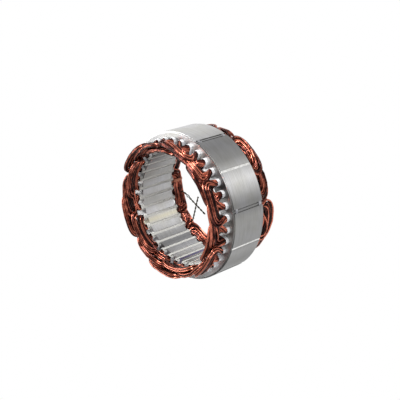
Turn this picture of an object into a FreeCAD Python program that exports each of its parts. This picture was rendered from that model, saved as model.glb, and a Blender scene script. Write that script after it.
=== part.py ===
"""Wound stator core of a vehicle alternator: a welded stack of laminations with 36 lined
slots, a three-phase wave winding whose end turns stand out at both ends, binding ties
round the rear end turns and three phase leads.

Frame: the Z axis is the stator's own axis, +Z points to its front end, the one without
leads, and Z = 0 is the plane that the rear end turns stand on.  Slot 0 lies on +X and
the slots count anticlockwise seen from the front.  All lengths are millimetres.
"""

import FreeCAD, Part
import math
import os

import Sketcher
from FreeCAD import Placement, Rotation, Vector

doc = FreeCAD.newDocument("WoundStator")


# --- driving dimensions ----------------------------------------------------------------

DIMENSIONS = (
    # lamination stack
    ("StackLength", 33.5, "length of the stack over all"),
    ("BoreDiameter", 98.8, "bore that the rotor turns in"),
    ("SlotDepth", 11.1, "slots, measured outwards from the bore"),
    ("YokeThickness", 4.5, "solid ring behind the slots, out to the outside of the stack"),
    ("RegisterStep", 0.8, "turned step at the front rim that locates in the front housing"),
    ("RegisterDepth", 1.0, "height of that step"),
    ("SlotCount", 36, "slots, and as many teeth"),
    ("ToothWidth", 3.6, "width of a tooth between its parallel flanks"),
    ("MouthWidth", 2.4, "gap between two tooth tips"),
    ("TipThickness", 0.9, "straight wall of a slot mouth"),
    ("TipSlope", 1.0, "radial height of the slope behind a tooth tip"),
    ("GrooveCount", 6, "grooves with a full weld, with as many open grooves between them"),
    ("WeldGrooveWidth", 2.6, "width of a weld groove at the outside"),
    ("WeldGrooveDepth", 0.9, "depth of a weld groove"),
    ("WeldSink", 0.15, "how far the crown of a weld bead stays below the outside"),
    ("WeldCrown", 0.25, "how far that crown stands over the bead's own edges"),
    ("OpenGrooveWidth", 3.4, "width of an open groove"),
    ("OpenGrooveDepth", 1.1, "depth of an open groove"),
    ("NibWidth", 1.1, "rib along the middle of an open groove, meant to be melted by a weld"),
    ("NibHeight", 0.75, "height of that rib over the groove's floor"),
    ("TackLength", 2.6, "tack weld near each end of an open groove"),
    ("TackInset", 1.5, "distance of a tack weld from the end of the stack"),
    ("TackClearance", 0.03, "gap between a tack weld and its groove"),
    # insulation
    ("LinerThickness", 0.3, "slot liner, a folded strip of white film"),
    ("LinerClearance", 0.05, "gap between a liner and its slot"),
    ("CuffHeight", 2.6, "liners and wedges standing out of each end"),
    ("WedgeRecess", 0.25, "slot wedge set back from the bore"),
    ("WedgeClearance", 0.05, "gap between a wedge and the tooth tips"),
    # winding
    ("CoilHeight", 17.5, "end turns and ties over each end of the stack"),
    ("CoilInset", 1.0, "how far the end turns stay back from the bore"),
    ("RearSpread", 1.8, "how much further out the rear end turns lie than the front ones"),
    ("BundleClearance", 0.15, "gap between a bundle and what it lies in"),
    ("LayerThickness", 2.6, "radial thickness of one phase's end turns"),
    ("LayerGap", 0.35, "gap between the end turns of two phases"),
    ("LayerStep", 0.4, "each phase's end turns stand this much over the next one in"),
    ("HeadFloor", 5.85, "height over the stack's face at which the highest end turns begin"),
    ("FootWidth", 8.0, "width of that bundle where it has just left a slot"),
    ("StrandGroove", 0.6, "depth of the valley between the two strands of a bundle"),
    ("BundleChamfer", 1.2, "rounding of a bundle's corners"),
    ("ArchSquareness", 2.8, "2 makes an end turn a half ellipse, more makes it squarer"),
    # ties and leads
    ("TieThickness", 0.5, "binding tie round the rear end turns"),
    ("TieWidth", 1.6, "width of a tie along the bundle"),
    ("TieClearance", 0.35, "gap between a tie and the bundles it holds"),
    ("TieFoot", 3.4, "a tie's inner run over the rear face of the stack"),
    ("TieChamfer", 1.4, "rounding of a tie's corners"),
    ("LeadKneeInset", 2.4, "how far inside the bore the leads bend"),
    ("LongLeadReach", 21.5, "how far inside the bore the longest lead ends"),
    ("MiddleLeadReach", 17.3, "how far inside the bore the middle lead ends"),
    ("ShortLeadReach", 13.4, "how far inside the bore the shortest lead ends"),
    ("LeadDiameter", 1.6, "phase lead, two wires twisted together"),
    ("LeadHeight", 4.0, "height of the lower leads over the plane the stator stands on"),
    ("LeadLift", 1.8, "how much higher the lead runs that crosses another"),
)

sheet = doc.addObject("Spreadsheet::Sheet", "Dimensions")
for row, (alias, value, meaning) in enumerate(DIMENSIONS, start=1):
    sheet.set("A%d" % row, meaning)
    sheet.set("B%d" % row, str(value))
    sheet.setAlias("B%d" % row, alias)
doc.recompute()


def size(alias):
    """The value that the sheet holds under a name."""
    return float(getattr(sheet, alias))


def ref(formula):
    """The formula with every name of the sheet written as a reference to it."""
    names = sorted((alias for alias, _, _ in DIMENSIONS), key=len, reverse=True)
    for place, alias in enumerate(names):
        formula = formula.replace(alias, "<%d>" % place)
    for place, alias in enumerate(names):
        formula = formula.replace("<%d>" % place, "Dimensions." + alias)
    return formula


# --- sizes worked out from them --------------------------------------------------------

SLOTS = int(size("SlotCount"))
PITCH = 360.0 / SLOTS                                   # degrees from slot to slot
HALF_PITCH = math.radians(PITCH / 2)
BORE_R = size("BoreDiameter") / 2
SLOT_R = BORE_R + size("SlotDepth")
OUTER_R = SLOT_R + size("YokeThickness")
REGISTER_R = OUTER_R - size("RegisterStep")
TIP_R = BORE_R + size("TipThickness")                   # end of a mouth's straight wall
SLOT_START_R = TIP_R + size("TipSlope")                 # start of the parallel flanks
STACK_FOOT = size("CoilHeight")                         # rear face of the stack
STACK_HEAD = STACK_FOOT + size("StackLength")           # front face of the stack
CUT_OVERRUN = 1.0                                       # how far a cut runs past the metal

# A slot's round bottom runs smoothly into both flanks of the slot.
BOTTOM_R = (SLOT_R * math.sin(HALF_PITCH) - size("ToothWidth") / 2) / (1 + math.sin(HALF_PITCH))
BOTTOM_X = SLOT_R - BOTTOM_R
SLOT_FORMULA = "(BoreDiameter / 2 + SlotDepth)"
OUTER_FORMULA = "(BoreDiameter / 2 + SlotDepth + YokeThickness)"
BOTTOM_R_FORMULA = (
    "(" + SLOT_FORMULA + " * sin(180 deg / SlotCount) - ToothWidth / 2)"
    " / (1 + sin(180 deg / SlotCount))"
)


def slot_half_width(radius):
    """Half the width of a slot at a radius where its flanks are straight."""
    return radius * math.tan(HALF_PITCH) - size("ToothWidth") / 2 / math.cos(HALF_PITCH)


# --- helpers ---------------------------------------------------------------------------

def origin_feature(body, role):
    """One of a body's own origin planes or axes."""
    return next(item for item in body.Origin.OriginFeatures if item.Role == role)


def new_sketch(body, name, role="XY_Plane", turn=None):
    """A sketch on an origin plane of the body, turned about Z by a formula in degrees."""
    sketch = body.newObject("Sketcher::SketchObject", name)
    sketch.AttachmentSupport = [(origin_feature(body, role), "")]
    sketch.MapMode = "FlatFace"
    if turn:
        sketch.AttachmentOffset = Placement(Vector(0, 0, 0), Rotation(Vector(0, 0, 1), 1.0))
        sketch.setExpression("AttachmentOffset.Rotation.Angle", ref(turn))
    return sketch


def close_loop(sketch, corners):
    """Straight sides from corner to corner, joined end to end."""
    for here, there in zip(corners, corners[1:] + corners[:1]):
        sketch.addGeometry(Part.LineSegment(Vector(*here, 0), Vector(*there, 0)))
    for side in range(len(corners)):
        following = (side + 1) % len(corners)
        sketch.addConstraint(Sketcher.Constraint("Coincident", side, 2, following, 1))


def measure_from_origin(sketch, axis, geometry, point, formula, start):
    """Bind one coordinate of a point to a formula, starting from where it lies now."""
    index = sketch.addConstraint(Sketcher.Constraint("Distance" + axis, -1, 1, geometry, point, start))
    sketch.setExpression("Constraints[%d]" % index, ref(formula))


def cut_all_round(body, sketch, name, count):
    """Cut a sketch right through the stack and repeat the cut all round."""
    pocket = body.newObject("PartDesign::Pocket", name)
    pocket.Profile = sketch
    pocket.Type = "ThroughAll"
    pocket.Reversed = True
    pattern = body.newObject("PartDesign::PolarPattern", name + "Pattern")
    pattern.Originals = [pocket]
    pattern.Axis = (origin_feature(body, "Z_Axis"), [""])
    pattern.Angle = 360
    pattern.setExpression("Occurrences", ref(count))
    before = body.Tip
    body.Tip = pattern
    doc.recompute()
    if not pattern.Shape.Volume < before.Shape.Volume:
        raise RuntimeError(name + " cuts nothing")


def keep(name, shape, turn=0.0):
    """A computed solid as an object of the document, turned about the axis."""
    piece = doc.addObject("Part::Feature", name)
    piece.Label = name
    piece.Shape = shape
    piece.Placement = Placement(Vector(0, 0, 0), Rotation(Vector(0, 0, 1), turn))
    return piece


def closed_wire(points):
    return Part.makePolygon(list(points) + [points[0]])


def on_circle(radius, degrees, height):
    angle = math.radians(degrees)
    return Vector(radius * math.cos(angle), radius * math.sin(angle), height)


# --- lamination stack ------------------------------------------------------------------

def draw_ring_section(section):
    """Half the ring's section, with the register step at its front outer corner."""
    length = size("StackLength")
    shoulder = length - size("RegisterDepth")
    close_loop(section, [
        (BORE_R, 0), (OUTER_R, 0), (OUTER_R, shoulder), (REGISTER_R, shoulder), (REGISTER_R, length), (BORE_R, length),
    ])
    for side in range(6):
        direction = "Horizontal" if side % 2 == 0 else "Vertical"
        section.addConstraint(Sketcher.Constraint(direction, side))
    section.addConstraint(Sketcher.Constraint("PointOnObject", 0, 1, -1))
    measure_from_origin(section, "X", 0, 1, "BoreDiameter / 2", BORE_R)
    measure_from_origin(section, "X", 1, 1, OUTER_FORMULA, OUTER_R)
    measure_from_origin(section, "X", 3, 1, OUTER_FORMULA + " - RegisterStep", REGISTER_R)
    measure_from_origin(section, "Y", 2, 1, "StackLength - RegisterDepth", shoulder)
    measure_from_origin(section, "Y", 4, 1, "StackLength", length)


def draw_slot(sketch):
    """Slot 0: a narrow mouth, slopes behind the tooth tips, flanks and a round bottom."""
    mouth = size("MouthWidth") / 2
    mouth_x = BORE_R - CUT_OVERRUN
    wide = slot_half_width(SLOT_START_R)
    sweep = math.pi / 2 + HALF_PITCH
    tangent_x = BOTTOM_X + BOTTOM_R * math.cos(sweep)
    tangent_y = BOTTOM_R * math.sin(sweep)
    lower = [(mouth_x, -mouth), (TIP_R, -mouth), (SLOT_START_R, -wide), (tangent_x, -tangent_y)]
    upper = [(x, -y) for x, y in reversed(lower)]
    for here, there in zip(lower, lower[1:]):
        sketch.addGeometry(Part.LineSegment(Vector(*here, 0), Vector(*there, 0)))
    bottom = Part.Circle(Vector(BOTTOM_X, 0, 0), Vector(0, 0, 1), BOTTOM_R)
    sketch.addGeometry(Part.ArcOfCircle(bottom, -sweep, sweep))
    for here, there in zip(upper, upper[1:] + lower[:1]):
        sketch.addGeometry(Part.LineSegment(Vector(*here, 0), Vector(*there, 0)))

    for side, following in ((0, 1), (1, 2), (4, 5), (5, 6), (6, 7), (7, 0)):
        sketch.addConstraint(Sketcher.Constraint("Coincident", side, 2, following, 1))
    sketch.addConstraint(Sketcher.Constraint("Tangent", 2, 2, 3, 1))
    sketch.addConstraint(Sketcher.Constraint("Tangent", 3, 2, 4, 1))
    sketch.addConstraint(Sketcher.Constraint("PointOnObject", 3, 3, -1))
    sketch.addConstraint(Sketcher.Constraint("Horizontal", 0))
    sketch.addConstraint(Sketcher.Constraint("Symmetric", 0, 1, 7, 1, -1))
    sketch.addConstraint(Sketcher.Constraint("Symmetric", 0, 2, 6, 1, -1))
    sketch.addConstraint(Sketcher.Constraint("Symmetric", 1, 2, 5, 1, -1))

    measure_from_origin(sketch, "X", 0, 1, "BoreDiameter / 2 - %s" % CUT_OVERRUN, mouth_x)
    measure_from_origin(sketch, "X", 0, 2, "BoreDiameter / 2 + TipThickness", TIP_R)
    measure_from_origin(sketch, "X", 1, 2, "BoreDiameter / 2 + TipThickness + TipSlope", SLOT_START_R)
    measure_from_origin(sketch, "Y", 7, 1, "MouthWidth / 2", mouth)
    measure_from_origin(sketch, "X", 3, 3, SLOT_FORMULA + " - " + BOTTOM_R_FORMULA, BOTTOM_X)
    radius = sketch.addConstraint(Sketcher.Constraint("Radius", 3, BOTTOM_R))
    sketch.setExpression("Constraints[%d]" % radius, ref(BOTTOM_R_FORMULA))
    flank = sketch.addConstraint(Sketcher.Constraint("Angle", 2, -HALF_PITCH))
    sketch.setExpression("Constraints[%d]" % flank, ref("-180 deg / SlotCount"))


def weld_groove_circle():
    """Radius and centre distance of the round groove that a weld bead lies in."""
    depth, width = size("WeldGrooveDepth"), size("WeldGrooveWidth")
    radius = (width ** 2 / 4 + depth ** 2) / (2 * depth)
    return radius, OUTER_R - depth + radius


def draw_weld_groove(sketch):
    radius, centre = weld_groove_circle()
    formula = "(WeldGrooveWidth * WeldGrooveWidth / 4 + WeldGrooveDepth * WeldGrooveDepth) / (2 * WeldGrooveDepth)"
    sketch.addGeometry(Part.Circle(Vector(centre, 0, 0), Vector(0, 0, 1), radius))
    sketch.addConstraint(Sketcher.Constraint("PointOnObject", 0, 3, -1))
    index = sketch.addConstraint(Sketcher.Constraint("Radius", 0, radius))
    sketch.setExpression("Constraints[%d]" % index, ref(formula))
    measure_from_origin(sketch, "X", 0, 3, OUTER_FORMULA + " - WeldGrooveDepth + " + formula, centre)


def draw_open_groove(sketch):
    """A flat-bottomed groove with a rib left standing along its middle."""
    floor, rim = OUTER_R - size("OpenGrooveDepth"), OUTER_R + CUT_OVERRUN
    top = floor + size("NibHeight")
    half, nib = size("OpenGrooveWidth") / 2, size("NibWidth") / 2
    close_loop(sketch, [
        (rim, -half), (floor, -half), (floor, -nib), (top, -nib), (top, nib), (floor, nib), (floor, half), (rim, half),
    ])
    for side in (0, 2, 4, 6):
        sketch.addConstraint(Sketcher.Constraint("Horizontal", side))
    for side in (1, 5):
        sketch.addConstraint(Sketcher.Constraint("Vertical", side))
    sketch.addConstraint(Sketcher.Constraint("Symmetric", 0, 1, 7, 1, -1))
    sketch.addConstraint(Sketcher.Constraint("Symmetric", 3, 1, 4, 1, -1))
    measure_from_origin(sketch, "X", 0, 1, OUTER_FORMULA + " + %s" % CUT_OVERRUN, rim)
    measure_from_origin(sketch, "X", 1, 1, OUTER_FORMULA + " - OpenGrooveDepth", floor)
    measure_from_origin(sketch, "X", 5, 1, OUTER_FORMULA + " - OpenGrooveDepth", floor)
    measure_from_origin(sketch, "X", 4, 1, OUTER_FORMULA + " - OpenGrooveDepth + NibHeight", top)
    measure_from_origin(sketch, "Y", 7, 1, "OpenGrooveWidth / 2", half)
    measure_from_origin(sketch, "Y", 4, 1, "NibWidth / 2", nib)


# All grooves lie behind teeth; these are the first welded and open ones, in slot pitches.
WELD_PLACE = 2.5
OPEN_PLACE = 5.5


def build_stack():
    body = doc.addObject("PartDesign::Body", "lamination_stack")
    body.Label = "lamination_stack"
    section = new_sketch(body, "RingSection", "XZ_Plane")
    draw_ring_section(section)
    ring = body.newObject("PartDesign::Revolution", "Ring")
    ring.Profile = section
    ring.ReferenceAxis = (origin_feature(body, "Z_Axis"), [""])
    ring.Angle = 360
    doc.recompute()

    slot = new_sketch(body, "SlotSection")
    draw_slot(slot)
    cut_all_round(body, slot, "Slot", "SlotCount")
    groove = new_sketch(body, "WeldGrooveSection", turn="%s * 360 deg / SlotCount" % WELD_PLACE)
    draw_weld_groove(groove)
    cut_all_round(body, groove, "WeldGroove", "GrooveCount")
    open_groove = new_sketch(body, "OpenGrooveSection", turn="%s * 360 deg / SlotCount" % OPEN_PLACE)
    draw_open_groove(open_groove)
    cut_all_round(body, open_groove, "OpenGroove", "GrooveCount")
    body.setExpression("Placement.Base.z", ref("CoilHeight"))
    return body


def all_round(shape, count, first_place):
    """Copies of a shape turned about the axis, as one compound."""
    copies = []
    for number in range(count):
        copy = shape.copy()
        copy.rotate(Vector(0, 0, 0), Vector(0, 0, 1), first_place * PITCH + number * 360.0 / count)
        copies.append(copy)
    return Part.makeCompound(copies)


def build_weld_beads():
    """One bead in each weld groove: its underside follows the groove in flats."""
    radius, centre = weld_groove_circle()
    crown_x = OUTER_R - size("WeldSink")
    edge_x = crown_x - size("WeldCrown")
    reach = math.asin(math.sqrt(radius ** 2 - (centre - edge_x) ** 2) / radius)
    floor = []
    for share in (-1.0, -0.33, 0.33, 1.0):
        floor.append((centre - radius * math.cos(share * reach), radius * math.sin(share * reach)))
    crown = [(crown_x, -floor[1][1]), (crown_x, floor[1][1])]
    section = Part.Face(closed_wire([Vector(x, y, STACK_FOOT) for x, y in floor + crown]))
    bead = section.extrude(Vector(0, 0, size("StackLength") - size("RegisterDepth")))
    return keep("weld_beads", all_round(bead, int(size("GrooveCount")), WELD_PLACE))


def build_tack_welds():
    """Two short welds in each open groove: they fill it and flow over its rib."""
    gap = size("TackClearance")
    floor = OUTER_R - size("OpenGrooveDepth") + gap
    over_nib = floor + size("NibHeight")
    crown = OUTER_R - size("WeldSink")
    half, nib = size("OpenGrooveWidth") / 2 - gap, size("NibWidth") / 2 + gap
    left = [(floor, nib), (floor, half), (crown, half)]
    corners = left + [(x, -y) for x, y in reversed(left)] + [(over_nib, -nib), (over_nib, nib)]
    section = Part.Face(closed_wire([Vector(x, y, 0) for x, y in corners]))
    tack = section.extrude(Vector(0, 0, size("TackLength")))
    rear = tack.copy()
    rear.translate(Vector(0, 0, STACK_FOOT + size("TackInset")))
    front = tack.copy()
    front.translate(Vector(0, 0, STACK_HEAD - size("RegisterDepth") - size("TackInset") - size("TackLength")))
    pair = Part.makeCompound([rear, front])
    return keep("tack_welds", all_round(pair, int(size("GrooveCount")), OPEN_PLACE))


# --- slot insulation -------------------------------------------------------------------

LINER_FOLDS = 4     # flats that the film makes round a slot's bottom


def channel(offset):
    """The slot's flanks and bottom as a run of flats, set inwards by an offset."""
    sweep = math.pi / 2 + HALF_PITCH
    radius = BOTTOM_R - offset
    start_x = SLOT_START_R + size("LinerClearance")
    start_y = slot_half_width(start_x) - offset / math.cos(HALF_PITCH)
    points = [(start_x, -start_y)]
    for fold in range(LINER_FOLDS + 1):
        angle = sweep * (2.0 * fold / LINER_FOLDS - 1)
        points.append((BOTTOM_X + radius * math.cos(angle), radius * math.sin(angle)))
    points.append((start_x, start_y))
    return points


def build_liners():
    """One folded film in each slot; it stands out of both ends of the stack as cuffs."""
    cuff = size("CuffHeight")
    outside = channel(size("LinerClearance"))
    inside = channel(size("LinerClearance") + size("LinerThickness"))
    rim = closed_wire([Vector(x, y, STACK_FOOT - cuff) for x, y in outside + inside[::-1]])
    film = Part.Face(rim).extrude(Vector(0, 0, size("StackLength") + 2 * cuff))
    return [keep("slot_liner_%02d" % slot, film, slot * PITCH) for slot in range(SLOTS)]


def build_wedges():
    """A wedge behind each pair of tooth tips, with a tongue that fills the slot's mouth."""
    gap = size("WedgeClearance")
    tongue = size("MouthWidth") / 2 - gap
    shoulder_x = TIP_R + gap
    back_x = SLOT_START_R - gap
    slope = (slot_half_width(SLOT_START_R) - size("MouthWidth") / 2) / size("TipSlope")
    back = tongue + slope * (back_x - shoulder_x)
    lower = [(BORE_R + size("WedgeRecess"), -tongue), (shoulder_x, -tongue), (back_x, -back)]
    corners = lower + [(x, -y) for x, y in reversed(lower)]
    foot = STACK_FOOT - size("CuffHeight")
    section = Part.Face(closed_wire([Vector(x, y, foot) for x, y in corners]))
    wedge = section.extrude(Vector(0, 0, size("StackLength") + 2 * size("CuffHeight")))
    return keep("slot_wedges", all_round(wedge, SLOTS, 0))


# --- three-phase winding ---------------------------------------------------------------

SLOTS_PER_TURN = 3      # an end turn joins slots this far apart, one slot for each phase
ARCH_SWINGS = (7.0, 45.0, 90.0, 135.0, 173.0)       # stations from foot to foot, degrees
FEET = (ARCH_SWINGS[0], ARCH_SWINGS[-1])
RISE = size("CuffHeight") + 2 * size("BundleClearance")     # end turns bend from here on

# Each phase's end turns have a layer of their own: phase a next to the bore, c outside.
PHASES = ("a", "b", "c")
FIRST_SLOT = {"a": 1, "b": 3, "c": 5}                   # where a front end turn starts


def layer_radius(phase, outwards):
    """Middle radius of a phase's end turns, at the front (1) or at the rear (-1)."""
    pitch = size("LayerThickness") + size("LayerGap")
    spread = size("RearSpread") if outwards < 0 else 0
    return BORE_R + size("CoilInset") + size("LayerThickness") / 2 + pitch * PHASES.index(phase) + spread


# The highest end turns reach up to just under the ties, and all are as wide as these.
HEAD_CEILING = size("CoilHeight") - size("TieThickness") - size("BundleClearance")
HEAD_WIDTH = HEAD_CEILING - size("HeadFloor")


def arch_top(phase):
    """Height over the stack's face of the middle line of a phase's end turns."""
    layers_above = len(PHASES) - 1 - PHASES.index(phase)
    return HEAD_CEILING - HEAD_WIDTH / 2 - size("LayerStep") * layers_above


# A bundle's leg fills its liner: its outer corners keep clear of the folds at the bottom.
FILM_DEPTH = size("LinerClearance") + size("LinerThickness")
LEG_INNER_R = SLOT_START_R + size("BundleClearance")
LEG_HALF_WIDTH = slot_half_width(LEG_INNER_R) - (FILM_DEPTH + size("BundleClearance")) / math.cos(HALF_PITCH)
FOLD_R = (BOTTOM_R - FILM_DEPTH) * math.cos((math.pi / 2 + HALF_PITCH) / LINER_FOLDS)
LEG_OUTER_R = BOTTOM_X + math.sqrt(
    (FOLD_R - size("BundleClearance")) ** 2 - (LEG_HALF_WIDTH - size("BundleChamfer")) ** 2
)


def skin(sections, capped):
    """A solid of flats between sections of as many corners each.

    The four corners of a strip between two sections seldom lie in one plane, so each
    strip is two triangles.  Capped, the first and last sections close the ends;
    otherwise the run of sections closes on itself.
    """
    faces = [Part.Face(closed_wire(section)) for section in (sections[0], sections[-1])] if capped else []
    following = sections[1:] if capped else sections[1:] + sections[:1]
    for near, far in zip(sections, following):
        for corner in range(len(near)):
            beside = (corner + 1) % len(near)
            faces.append(Part.Face(closed_wire([near[corner], near[beside], far[beside]])))
            faces.append(Part.Face(closed_wire([near[corner], far[beside], far[corner]])))
    shell = Part.Shell(faces)
    shell.sewShape()
    solid = Part.Solid(shell)
    if solid.Volume < 0:
        solid.reverse()
    return solid


def bundle_section(angle, height, heading, radius, half_depth, half_width):
    """Section of a bundle that runs round the axis: two strands with a valley between.

    Its depth is radial; its width is square to its heading, which is 90 degrees where
    the bundle climbs and 0 where it runs round the stator.
    """
    turn, tilt = math.radians(angle), math.radians(heading)
    outward = Vector(math.cos(turn), math.sin(turn), 0)
    along = Vector(-math.sin(turn), math.cos(turn), 0)
    across = along * -math.sin(tilt) + Vector(0, 0, math.cos(tilt))
    middle = outward * radius + Vector(0, 0, height)
    chamfer = size("BundleChamfer")
    corners = []
    for depth, width in ((1, 1), (-1, 1), (-1, -1), (1, -1)):
        beside = (half_depth * depth, (half_width - chamfer) * width)
        above = ((half_depth - chamfer) * depth, half_width * width)
        corners += [beside, above] if depth == width else [above, beside]
    valley = half_depth - size("StrandGroove")
    corners.insert(8, (valley, 0))
    corners.insert(4, (-valley, 0))
    return [middle + outward * deep + across * wide for deep, wide in corners]


def leg_section(slot, height, heading):
    return bundle_section(
        slot * PITCH, height, heading,
        (LEG_INNER_R + LEG_OUTER_R) / 2, (LEG_OUTER_R - LEG_INNER_R) / 2, LEG_HALF_WIDTH,
    )


def arch_station(degrees, top):
    """Place on an end turn's middle line: share of its span, and height over the face."""
    power = 2 / size("ArchSquareness")
    swing = math.radians(degrees)
    share = math.copysign(abs(math.cos(swing)) ** power, math.cos(swing))
    return (1 - share) / 2, RISE + (top - RISE) * abs(math.sin(swing)) ** power


def arch_heading(degrees, top, radius):
    """Direction of the middle line, in degrees over the way round the stator."""
    nudge = 2.0
    here, low = arch_station(degrees - nudge, top)
    there, high = arch_station(degrees + nudge, top)
    run = (there - here) * math.radians(SLOTS_PER_TURN * PITCH) * radius
    return math.degrees(math.atan2(high - low, run))


def end_turn(phase, slot, face, outwards):
    """Sections of one end turn, from one slot to the next of its phase."""
    top, radius = arch_top(phase), layer_radius(phase, outwards)
    half_depth = size("LayerThickness") / 2
    sections = [leg_section(slot, face + outwards * RISE, 90 * outwards)]
    for swing in ARCH_SWINGS:
        share, height = arch_station(swing, top)
        half_width = (size("FootWidth") if swing in FEET else HEAD_WIDTH) / 2
        sections.append(bundle_section(
            (slot + SLOTS_PER_TURN * share) * PITCH, face + outwards * height,
            outwards * arch_heading(swing, top, radius), radius, half_depth, half_width,
        ))
    sections.append(leg_section(slot + SLOTS_PER_TURN, face + outwards * RISE, -90 * outwards))
    return sections


def build_phase(phase):
    """One phase: a closed bundle that weaves up and down through every third slot."""
    sections = []
    for slot in range(FIRST_SLOT[phase], FIRST_SLOT[phase] + SLOTS, 2 * SLOTS_PER_TURN):
        sections += end_turn(phase, slot, STACK_HEAD, 1)
        sections += end_turn(phase, slot + SLOTS_PER_TURN, STACK_FOOT, -1)
    return keep("winding_phase_" + phase, skin(sections, capped=False))


# --- binding ties round the rear end turns ---------------------------------------------

TIE_PLACES = (2.5, 5.5, 10.5, 16.5, 21.5, 26.5, 30.5, 34.5)     # in slot pitches


def phases_under(place):
    """The phases whose rear end turns pass a place given in slot pitches."""
    found = []
    for phase in PHASES:
        past_start = (place - FIRST_SLOT[phase] - SLOTS_PER_TURN) % (2 * SLOTS_PER_TURN)
        if past_start < SLOTS_PER_TURN:
            found.append(phase)
    return found


def tie_loop(inner_r, outer_r, low, high, chamfer):
    """A rectangle with cut corners in the plane of the axis."""
    corners = [
        (inner_r + chamfer, low), (outer_r - chamfer, low), (outer_r, low + chamfer), (outer_r, high - chamfer),
        (outer_r - chamfer, high), (inner_r + chamfer, high), (inner_r, high - chamfer), (inner_r, low + chamfer),
    ]
    return closed_wire([Vector(x, -size("TieWidth") / 2, z) for x, z in corners])


def build_tie(number, place):
    """A flat tie round all the bundles that pass its place."""
    radii = [layer_radius(phase, -1) for phase in phases_under(place)]
    grip = size("LayerThickness") / 2 + size("TieClearance")
    thickness, chamfer = size("TieThickness"), size("TieChamfer")
    inner_r, outer_r = min(radii) - grip, max(radii) + grip
    low, high = thickness, STACK_FOOT - size("TieFoot")
    hole = tie_loop(inner_r, outer_r, low, high, chamfer)
    rim = tie_loop(inner_r - thickness, outer_r + thickness, low - thickness, high + thickness, chamfer)
    across = Vector(0, size("TieWidth"), 0)
    band = Part.Face(rim).extrude(across).cut(Part.Face(hole).extrude(across))
    return keep("binding_tie_%d" % number, band, place * PITCH)


# --- phase leads -----------------------------------------------------------------------

LEAD_SIDES = 8

# Angles of a lead's root, knee and tip, the name of its reach, and whether it crosses
# over another lead.
LEADS = {
    "a": (177.0, 179.4, 217.8, "MiddleLeadReach", False),
    "b": (315.0, 312.0, 292.0, "ShortLeadReach", False),
    "c": (212.0, 209.7, 185.7, "LongLeadReach", True),
}


def wire_section(middle, heading, radius):
    """Corners round a wire in the plane square to its heading."""
    sideways = heading.cross(Vector(0, 0, 1)).normalize()
    upwards = sideways.cross(heading).normalize()
    corners = []
    for corner in range(LEAD_SIDES):
        angle = 2 * math.pi * (corner + 0.5) / LEAD_SIDES
        corners.append(middle + sideways * (radius * math.cos(angle)) + upwards * (radius * math.sin(angle)))
    return corners


def build_lead(phase):
    """Two wires twisted together, from the inside of the rear end turns into the bore."""
    root_angle, knee_angle, tip_angle, reach, crosses = LEADS[phase]
    root_r = layer_radius(phase, -1) - size("LayerThickness") / 2 - size("LayerGap")
    height = size("LeadHeight") + (size("LeadLift") if crosses else 0)
    root = on_circle(root_r, root_angle, height)
    bend = on_circle(BORE_R - size("LeadKneeInset"), knee_angle, height)
    end = on_circle(BORE_R - size(reach), tip_angle, height)
    inwards, onwards = (bend - root).normalize(), (end - bend).normalize()
    across = (inwards + onwards).normalize()
    sections = [
        wire_section(middle, heading, size("LeadDiameter") / 2)
        for middle, heading in ((root, inwards), (bend, across), (end, onwards))
    ]
    return keep("phase_lead_" + phase, skin(sections, capped=True))


# --- the whole stator ------------------------------------------------------------------

build_stack()
build_weld_beads()
build_tack_welds()
build_liners()
build_wedges()
for phase in PHASES:
    build_phase(phase)
for number, place in enumerate(TIE_PLACES, start=1):
    build_tie(number, place)
for phase in PHASES:
    build_lead(phase)
doc.recompute()

pieces = [item for item in doc.Objects if item.TypeId in ("PartDesign::Body", "Part::Feature")]
for item in doc.Objects:
    if "Invalid" in item.State or "Error" in item.State:
        raise RuntimeError("%s: %s" % (item.Label, item.State))
for piece in pieces:
    if piece.Shape.isNull() or not piece.Shape.isValid():
        raise RuntimeError(piece.Label + " has no valid shape")

os.makedirs("parts", exist_ok=True)
for piece in pieces:
    piece.Shape.exportStep("parts/%s.step" % piece.Label)
print("%d sub-parts written" % len(pieces))
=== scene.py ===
# %% [markdown]
# # A wound stator core
# The object is the fixed part of a vehicle alternator: a ring of punched steel sheets, a
# copper winding woven through its 36 slots, white film that keeps the two apart, copper
# ties, and three loose wire ends.  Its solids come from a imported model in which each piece
# has its real size and place.  This lesson dresses them.  The steel, the welds and the film
# keep their solids and only need a surface.  The winding, the ties and the wire ends are
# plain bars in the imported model, so they are built again here, wire by wire.

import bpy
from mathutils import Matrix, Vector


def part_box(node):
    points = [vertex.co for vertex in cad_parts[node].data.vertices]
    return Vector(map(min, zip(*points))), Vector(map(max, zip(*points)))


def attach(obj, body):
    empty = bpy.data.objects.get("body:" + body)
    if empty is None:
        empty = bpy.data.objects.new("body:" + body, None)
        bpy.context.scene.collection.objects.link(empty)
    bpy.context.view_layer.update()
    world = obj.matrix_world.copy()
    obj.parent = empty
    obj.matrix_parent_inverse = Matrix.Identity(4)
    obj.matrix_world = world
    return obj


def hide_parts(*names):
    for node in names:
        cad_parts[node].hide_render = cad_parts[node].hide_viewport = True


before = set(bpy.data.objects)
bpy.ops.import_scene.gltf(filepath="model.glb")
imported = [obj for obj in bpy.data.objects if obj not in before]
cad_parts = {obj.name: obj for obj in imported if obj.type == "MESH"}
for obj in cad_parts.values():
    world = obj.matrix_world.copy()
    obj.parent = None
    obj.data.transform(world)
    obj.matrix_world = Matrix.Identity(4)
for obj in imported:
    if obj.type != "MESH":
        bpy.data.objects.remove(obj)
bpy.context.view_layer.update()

# %% [markdown]
# ## Modules and the millimetre
# A part like this is drawn in millimetres, and Blender's unit is the metre.  The scene could
# be scaled instead, but then lamps and noise textures would have to be scaled too.  It is
# simpler to write every length as a number of millimetres times MM.

# %% Modules and the millimetre
import math
import random

import bpy
from mathutils import Matrix, Vector

MM = 0.001
scene = bpy.context.scene
print("Blender", bpy.app.version_string)

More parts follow.
